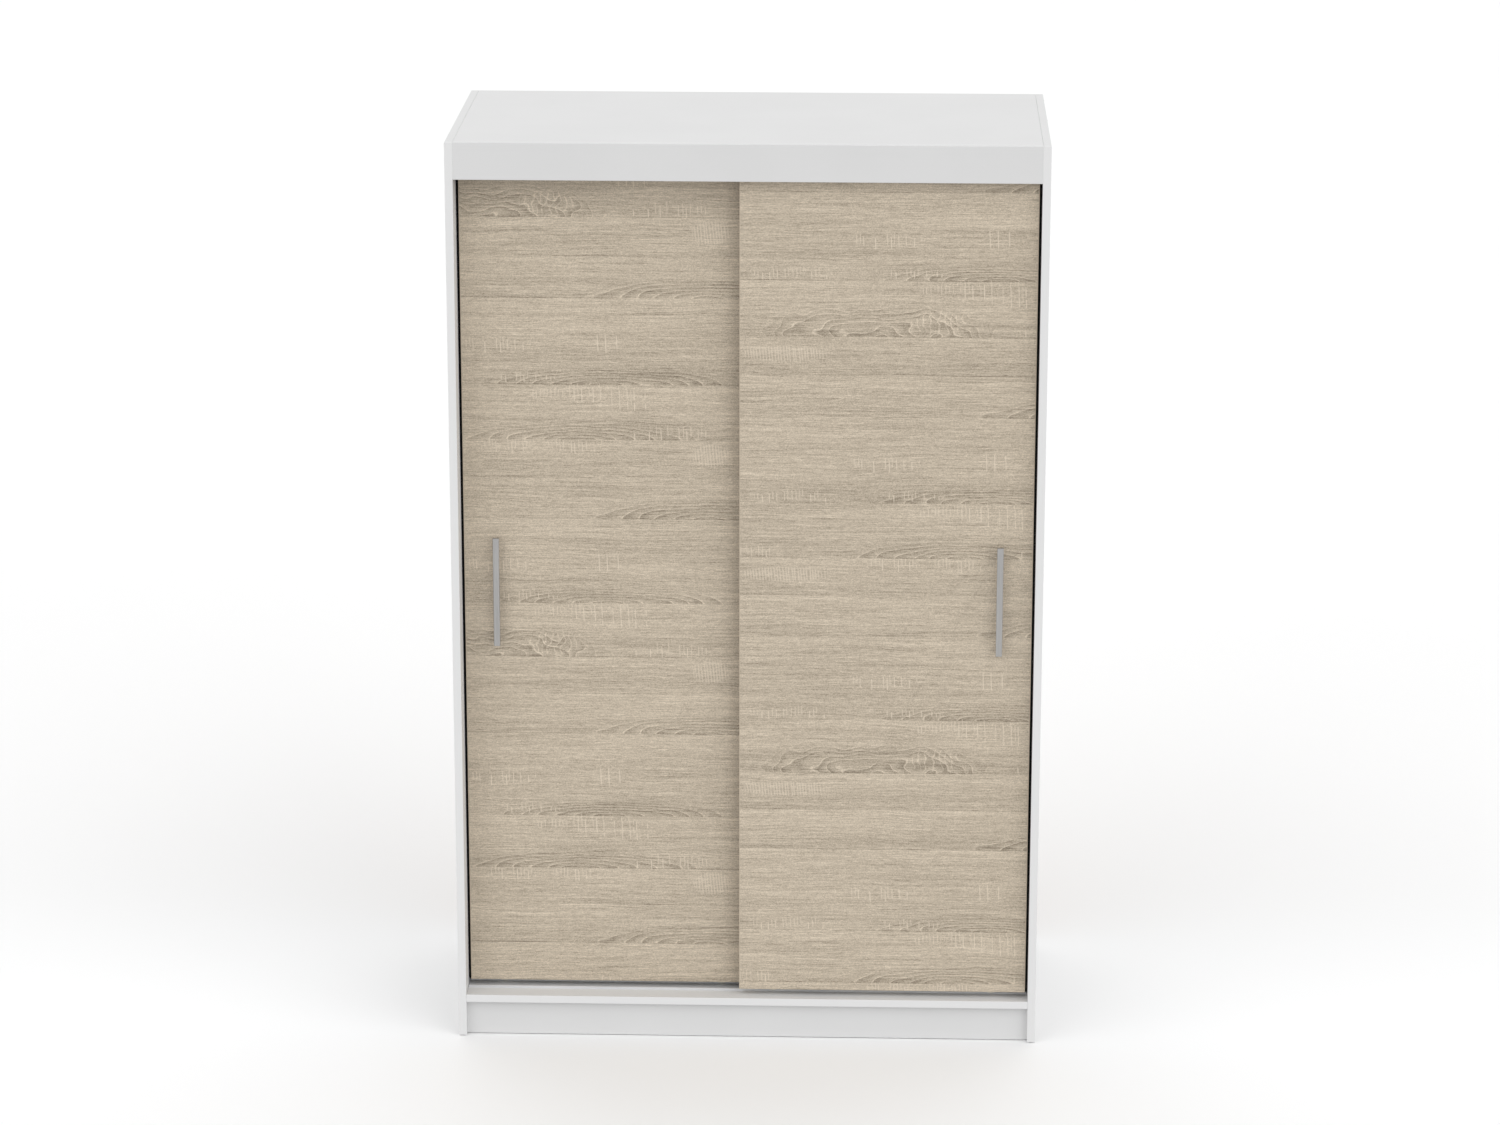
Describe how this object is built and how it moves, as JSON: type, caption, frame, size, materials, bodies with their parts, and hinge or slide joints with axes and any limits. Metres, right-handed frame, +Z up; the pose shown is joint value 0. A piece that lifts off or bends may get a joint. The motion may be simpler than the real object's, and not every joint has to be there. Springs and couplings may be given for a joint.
{
  "type": "sliding door wardrobe",
  "caption": "Free-standing wardrobe with overlapping sliding doors on grooved rollers in twin tracks, bar handles, shelves, a hanging rail and a recessed plinth.",
  "frame": {"origin": "on the floor, at the middle of the footprint", "axes": "+X to the right seen from the front, +Y towards the wall (the doors face -Y), +Z up"},
  "size_m": [1.2, 0.6, 1.89],
  "materials": {
    "white_board": "white melamine-faced chipboard, fine satin texture, white ABS edge band",
    "oak_board": "pale greyed oak decor on chipboard, horizontal grain with fine sawn texture, matching edge band",
    "hardboard": "thin hardboard, white lacquer inside and raw fibre outside",
    "track_aluminium": "extruded, natural anodised, satin",
    "handle_metal": "satin, fine lengthwise brushing",
    "chrome_rail": "bright chrome plate",
    "steel": "zinc plated",
    "brush_pile": "dense black polypropylene pile",
    "grey_plastic": "moulded, fine texture",
    "nylon": "turned white nylon",
    "glide_plastic": "moulded black plastic"
  },
  "bodies": {
    "carcass": {"left_side_panel": "white_board", "right_side_panel": "white_board", "top_board": "white_board", "bottom_board": "white_board", "top_fascia": "white_board", "front_plinth": "white_board", "rear_plinth": "white_board", "plinth_brace": "white_board", "centre_partition": "white_board", "left_shelf_1": "white_board", "left_shelf_2": "white_board", "left_shelf_3": "white_board", "left_shelf_4": "white_board", "hat_shelf": "white_board", "back_panel_left": "hardboard", "back_panel_right": "hardboard", "hanging_rail": "chrome_rail", "rail_flange_left": "chrome_rail", "rail_flange_right": "chrome_rail", "upper_track": "track_aluminium", "lower_track": "track_aluminium", "front_left_glide": "glide_plastic", "rear_left_glide": "glide_plastic", "front_right_glide": "glide_plastic", "rear_right_glide": "glide_plastic", "front_lane_stop_left": "grey_plastic", "front_lane_stop_right": "grey_plastic", "rear_lane_stop_left": "grey_plastic", "rear_lane_stop_right": "grey_plastic"},
    "left_door": {"left_door_panel": "oak_board", "left_door_handle_bar": "handle_metal", "left_door_handle_post_lower": "handle_metal", "left_door_handle_post_upper": "handle_metal", "left_door_handle_screw_lower": "steel", "left_door_handle_screw_upper": "steel", "left_door_brush_seal": "brush_pile", "left_door_roller_housing_left": "grey_plastic", "left_door_top_guide_left": "grey_plastic", "left_door_axle_pin_left": "steel", "left_door_roller_housing_right": "grey_plastic", "left_door_top_guide_right": "grey_plastic", "left_door_axle_pin_right": "steel"},
    "left_door_wheel_left": {"left_door_wheel_left": "nylon"},
    "left_door_wheel_right": {"left_door_wheel_right": "nylon"},
    "right_door": {"right_door_panel": "oak_board", "right_door_handle_bar": "handle_metal", "right_door_handle_post_lower": "handle_metal", "right_door_handle_post_upper": "handle_metal", "right_door_handle_screw_lower": "steel", "right_door_handle_screw_upper": "steel", "right_door_brush_seal": "brush_pile", "right_door_roller_housing_left": "grey_plastic", "right_door_top_guide_left": "grey_plastic", "right_door_axle_pin_left": "steel", "right_door_roller_housing_right": "grey_plastic", "right_door_top_guide_right": "grey_plastic", "right_door_axle_pin_right": "steel"},
    "right_door_wheel_left": {"right_door_wheel_left": "nylon"},
    "right_door_wheel_right": {"right_door_wheel_right": "nylon"}
  },
  "joints": [
    {"name": "left_door_slide", "type": "slide", "parent": "carcass", "child": "left_door", "axis": [1, 0, 0], "range_m": [0, 0.563]},
    {"name": "right_door_slide", "type": "slide", "parent": "carcass", "child": "right_door", "axis": [1, 0, 0], "range_m": [-0.563, 0]},
    {"name": "left_door_wheel_left_spin", "type": "hinge", "parent": "left_door", "child": "left_door_wheel_left", "pos_m": [-0.509, -0.2155, 0.1088], "axis": [0, 1, 0], "range_deg": [-5, 2500]},
    {"name": "left_door_wheel_right_spin", "type": "hinge", "parent": "left_door", "child": "left_door_wheel_right", "pos_m": [-0.054, -0.2155, 0.1088], "axis": [0, 1, 0], "range_deg": [-5, 2500]},
    {"name": "right_door_wheel_left_spin", "type": "hinge", "parent": "right_door", "child": "right_door_wheel_left", "pos_m": [0.054, -0.2535, 0.1088], "axis": [0, 1, 0], "range_deg": [-2500, 5]},
    {"name": "right_door_wheel_right_spin", "type": "hinge", "parent": "right_door", "child": "right_door_wheel_right", "pos_m": [0.509, -0.2535, 0.1088], "axis": [0, 1, 0], "range_deg": [-2500, 5]}
  ],
  "couplings": [
    {"joint": "left_door_wheel_left_spin", "follows": "left_door_slide", "rad_per_m": 76.923},
    {"joint": "left_door_wheel_right_spin", "follows": "left_door_slide", "rad_per_m": 76.923},
    {"joint": "right_door_wheel_left_spin", "follows": "right_door_slide", "rad_per_m": 76.923},
    {"joint": "right_door_wheel_right_spin", "follows": "right_door_slide", "rad_per_m": 76.923}
  ]
}
